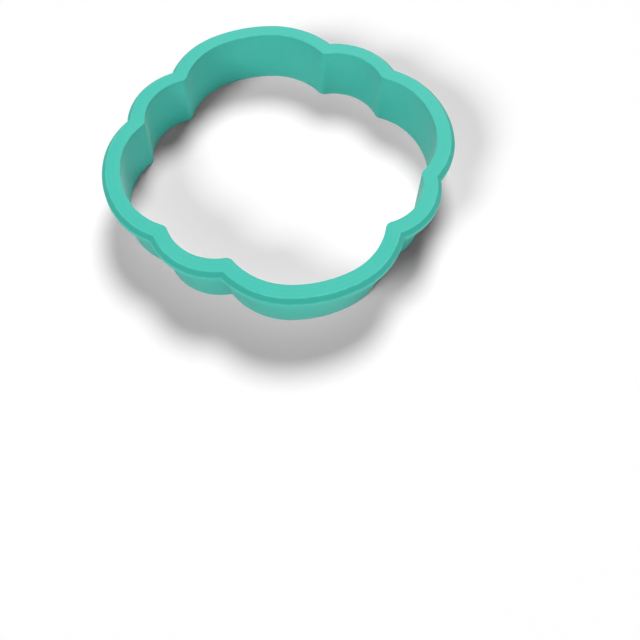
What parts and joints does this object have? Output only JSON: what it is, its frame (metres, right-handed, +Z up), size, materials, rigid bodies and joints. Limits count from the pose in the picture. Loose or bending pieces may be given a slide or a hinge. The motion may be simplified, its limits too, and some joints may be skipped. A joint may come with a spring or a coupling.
{
  "type": "cookie cutter",
  "caption": "Lobed plaque-shaped plastic cookie cutter: an open ring with a broad flat rim to press on, a tapering side wall and a thin cutting edge.",
  "frame": {"origin": "middle of the footprint, on the surface that the cutting edge stands on", "axes": "+Z up from the cutting edge to the rim, +X along the longer side of the outline, +Y along the shorter side"},
  "size_m": [0.1134, 0.1112, 0.0206],
  "materials": {
    "rim_plastic": "satin teal plastic",
    "wall_plastic": "satin teal plastic",
    "edge_plastic": "satin teal plastic"
  },
  "bodies": {
    "root": {"grip_rim": "rim_plastic", "side_wall": "wall_plastic", "cutting_edge": "edge_plastic"}
  },
  "joints": []
}
